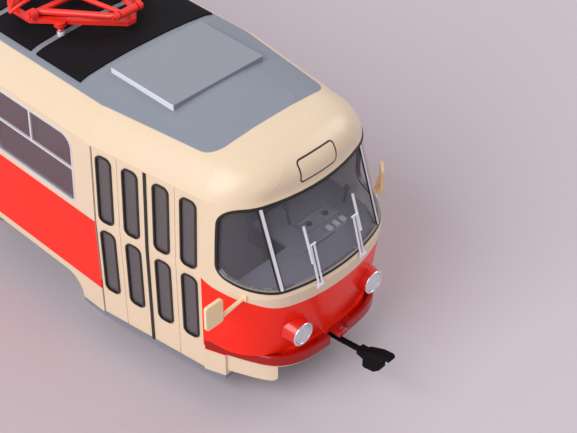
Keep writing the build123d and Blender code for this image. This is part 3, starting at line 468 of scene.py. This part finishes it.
# Desk behind the windscreen and what stands on it, in millimetres
cab = {
    "deskLow": (134.6, -1.6, 35.4), "deskHigh": (150.6, 24.2, 36.9), "deskEdge": 0.5,
    "panelLow": (142.9, 4.6, 36.6), "panelHigh": (147.0, 15.6, 37.6), "panelEdge": 0.22,
    "panelRim": 0.55, "panelSink": 0.35, "panelGrey": (0.30, 0.305, 0.375), "panelRough": 0.25,
    "keyLow": (148.4, 9.0, 36.7), "keyHigh": (150.2, 10.3, 37.5), "keyPitch": 2.35, "keys": 3, "keyEdge": 0.15,
    "keyWhite": (0.75, 0.75, 0.78), "switchBlack": (0.015, 0.015, 0.018), "switchRough": 0.35,
    "gaugeSpots": ((145.0, 7.2), (145.0, 12.8)), "gaugeRadius": 0.8, "gaugeDepth": 0.3, "gaugeRise": 0.1,
    "gaugeEdge": 0.08,
    "leverFoot": (141.6, 4.2, 36.5), "leverTop": (140.2, 4.2, 41.4),
    "hornFoot": (144.9, 19.6, 36.5), "hornTop": (146.2, 19.0, 42.2), "stalkRadius": 0.35, "knobRadius": 0.85,
}


def addCab():
    grey = plainFinishes["consoleGrey"]
    panelGrey = plain("panelGrey", cab["panelGrey"], cab["panelRough"])
    dark = plain("switchBlack", cab["switchBlack"], cab["switchRough"])
    white = plain("keyWhite", cab["keyWhite"], cab["switchRough"])
    roundedBox("desk", cab["deskLow"], cab["deskHigh"], cab["deskEdge"], grey)
    roundedBox("instrumentPanel", cab["panelLow"], cab["panelHigh"], cab["panelEdge"], panelGrey,
               cab["panelRim"], cab["panelSink"])
    for index in range(cab["keys"]):
        shift = Vector((0, index * cab["keyPitch"], 0))
        low, high = Vector(cab["keyLow"]) + shift, Vector(cab["keyHigh"]) + shift
        roundedBox(f"key_{index + 1}", low, high, cab["keyEdge"], white)
    panelTop = cab["panelHigh"][2] - cab["panelSink"]
    for index, (x, y) in enumerate(cab["gaugeSpots"]):
        bpy.ops.object.select_all(action="DESELECT")
        bpy.ops.mesh.primitive_cylinder_add(
            vertices=40, radius=cab["gaugeRadius"] * mm, depth=cab["gaugeDepth"] * mm,
            location=(x * mm, y * mm, (panelTop + cab["gaugeRise"]) * mm),
        )
        bevelEdges(bpy.context.object, cab["gaugeEdge"], 2)
        finishPiece(bpy.context.object, f"gauge_{index + 1}", dark)
    for name, foot, top in (
        ("driveLever", cab["leverFoot"], cab["leverTop"]),
        ("microphone", cab["hornFoot"], cab["hornTop"]),
    ):
        stalk(name, foot, top, cab["stalkRadius"], cab["knobRadius"], dark)


# Small bracket with its pin between the bumper halves, in millimetres
tow = {
    "low": (159.9, -1.3, 17.75), "high": (163.5, 1.9, 19.15), "edge": 0.55, "rough": 0.3,
    "pinFoot": (162.3, 0.4, 18.9), "pinTop": (162.3, 0.4, 19.3), "pinRadius": 0.4, "pinHead": 0.55,
}


def addTowBracket():
    red = plain("bracketRed", colour["bumper"], tow["rough"])
    roundedBox("towBracket", tow["low"], tow["high"], tow["edge"], red)
    stalk("towPin", tow["pinFoot"], tow["pinTop"], tow["pinRadius"], tow["pinHead"], red)


addLampRings()
addCab()
addTowBracket()
print("added pieces done")

# Camera at the photograph's view, in metres, degrees and pixels
view = {
    "place": (0.3035, -0.1674, 0.2400),
    "forward": (-0.52363, 0.55316, -0.64794),
    "roll": 0.886,
    "focalPixels": 1308.7, "imageWidth": 577, "sensor": 36.0,
    "nearest": 0.01, "furthest": 20,
}


def addCamera():
    data = bpy.data.cameras.new("camera")
    data.sensor_fit = "HORIZONTAL"
    data.sensor_width = view["sensor"]
    data.lens = view["focalPixels"] / view["imageWidth"] * view["sensor"]
    data.clip_start = view["nearest"]
    data.clip_end = view["furthest"]
    camera = bpy.data.objects.new("camera", data)
    bpy.context.scene.collection.objects.link(camera)
    forward = Vector(view["forward"]).normalized()
    level = forward.cross(Vector((0, 0, 1))).normalized()
    right = Matrix.Rotation(radians(-view["roll"]), 3, forward) @ level
    up = right.cross(forward)
    pose = Matrix((right, up, -forward)).transposed().to_4x4()
    pose.translation = Vector(view["place"])
    camera.matrix_world = pose
    bpy.context.scene.camera = camera


# Pale floor and soft studio light, in metres and watts
studio = {
    "floorHalf": 3.0, "floorColour": (0.60, 0.53, 0.58), "floorRough": 0.7,
    "worldColour": (0.93, 0.92, 0.95), "worldStrength": 0.40, "backdropStrength": 0.62,
    "lamps": (
        # place, aim, size, watts
        ((0.14, -1.15, 0.95), (0.05, 0.0, 0.03), 1.1, 18.6),
        ((0.5, 1.3, 1.0), (0.1, 0.0, 0.03), 0.9, 8.5),
        ((-0.8, 0.6, 1.2), (0.0, 0.0, 0.03), 0.9, 2.0),
    ),
}


def addFloor():
    bpy.ops.object.select_all(action="DESELECT")
    bpy.ops.mesh.primitive_plane_add(size=2 * studio["floorHalf"])
    floor = bpy.context.object
    floor.name = "studioFloor"
    paper = Finish("floorPaper", Base_Color=studio["floorColour"], Roughness=studio["floorRough"])
    floor.data.materials.append(paper.material)


def addLamps():
    for index, (place, aim, size, watts) in enumerate(studio["lamps"]):
        data = bpy.data.lights.new(f"softLamp{index}", "AREA")
        data.shape = "SQUARE"
        data.size = size
        data.energy = watts
        lamp = bpy.data.objects.new(data.name, data)
        bpy.context.scene.collection.objects.link(lamp)
        lamp.location = place
        lamp.rotation_euler = (Vector(aim) - Vector(place)).to_track_quat("-Z", "Y").to_euler()


# World whose backdrop, also seen in glass and metal, is a little paler than the light it gives
def addWorld():
    world = bpy.data.worlds.new("studio")
    bpy.context.scene.world = world
    world.use_nodes = True
    nodes, links = world.node_tree.nodes, world.node_tree.links
    back = nodes["Background"]
    back.inputs["Color"].default_value = (*studio["worldColour"], 1)
    path = nodes.new("ShaderNodeLightPath")
    seen = path.outputs["Is Camera Ray"]
    for ray in ("Is Glossy Ray", "Is Transmission Ray"):
        either = nodes.new("ShaderNodeMath")
        either.operation = "MAXIMUM"
        links.new(seen, either.inputs[0])
        links.new(path.outputs[ray], either.inputs[1])
        seen = either.outputs[0]
    strength = nodes.new("ShaderNodeMapRange")
    strength.inputs["To Min"].default_value = studio["worldStrength"]
    strength.inputs["To Max"].default_value = studio["backdropStrength"]
    links.new(seen, strength.inputs["Value"])
    links.new(strength.outputs["Result"], back.inputs["Strength"])


addCamera()
addFloor()
addLamps()
addWorld()
bpy.context.scene.view_settings.view_transform = "Standard"
print("camera and studio done")
